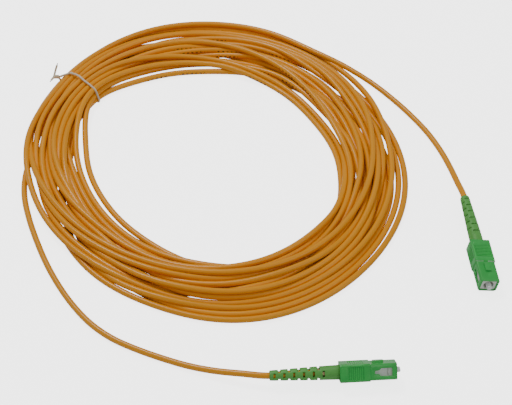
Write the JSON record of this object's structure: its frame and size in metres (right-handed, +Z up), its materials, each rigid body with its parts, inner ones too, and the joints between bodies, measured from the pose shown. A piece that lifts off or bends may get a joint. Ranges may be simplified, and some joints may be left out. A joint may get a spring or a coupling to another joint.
{
  "type": "fiber optic patch cord",
  "caption": "Long simplex fibre patch cord, wound in a loose oval coil held by a twist tie, with a push-pull angled-polish plug and a slotted boot on each end.",
  "frame": {"origin": "on the surface that the cord lies on, under the middle of the whole part's box", "axes": "+Z up out of the surface, +X across the coil towards the second plug's side, +Y from the first plug across the coil"},
  "size_m": [0.2288, 0.2406, 0.0114],
  "materials": {
    "yellow_jacket": "satin PVC jacket",
    "green_grip": "moulded, fine ribs, satin gloss",
    "green_boot": "soft moulded elastomer, satin",
    "ivory_frame": "moulded, slightly translucent",
    "zirconia": "polished zirconia",
    "glass_fibre": "bare glass",
    "nickel_plate": "turned and nickel plated",
    "spring_steel": "drawn spring wire",
    "crimp_metal": "crimped soft metal sleeve",
    "aramid_yarn": "loose straight yarn",
    "white_buffer": "smooth extruded buffer",
    "tie_plastic": "thin plastic cover, satin",
    "tie_wire": "annealed wire, dull"
  },
  "bodies": {
    "cord": {"plug_frame_a": "ivory_frame", "stop_body_a": "nickel_plate", "crimp_sleeve_a": "crimp_metal", "yarn_a": "aramid_yarn", "buffered_fibre_a": "white_buffer", "spring_a": "spring_steel", "boot_a": "green_boot", "plug_frame_b": "ivory_frame", "stop_body_b": "nickel_plate", "crimp_sleeve_b": "crimp_metal", "yarn_b": "aramid_yarn", "buffered_fibre_b": "white_buffer", "spring_b": "spring_steel", "boot_b": "green_boot", "lead_a": "yellow_jacket", "coil": "yellow_jacket", "lead_b": "yellow_jacket", "tie_cover": "tie_plastic", "tie_wire": "tie_wire"},
    "grip_a": {"grip_a": "green_grip"},
    "grip_b": {"grip_b": "green_grip"},
    "ferrule_a": {"ferrule_a": "zirconia", "fibre_a": "glass_fibre", "ferrule_holder_a": "nickel_plate"},
    "ferrule_b": {"ferrule_b": "zirconia", "fibre_b": "glass_fibre", "ferrule_holder_b": "nickel_plate"}
  },
  "joints": [
    {"name": "grip_a_pull", "type": "slide", "parent": "cord", "child": "grip_a", "axis": [-0.9981, -0.061, 0], "range_m": [0, 0.002]},
    {"name": "ferrule_a_push", "type": "slide", "parent": "cord", "child": "ferrule_a", "axis": [-0.9981, -0.061, 0], "range_m": [0, 0.0015], "stiffness_N_per_m": 1500, "deforming": ["spring_a"]},
    {"name": "grip_b_pull", "type": "slide", "parent": "cord", "child": "grip_b", "axis": [-0.1045, 0.9945, 0], "range_m": [0, 0.002]},
    {"name": "ferrule_b_push", "type": "slide", "parent": "cord", "child": "ferrule_b", "axis": [-0.1045, 0.9945, 0], "range_m": [0, 0.0015], "stiffness_N_per_m": 1500, "deforming": ["spring_b"]}
  ]
}
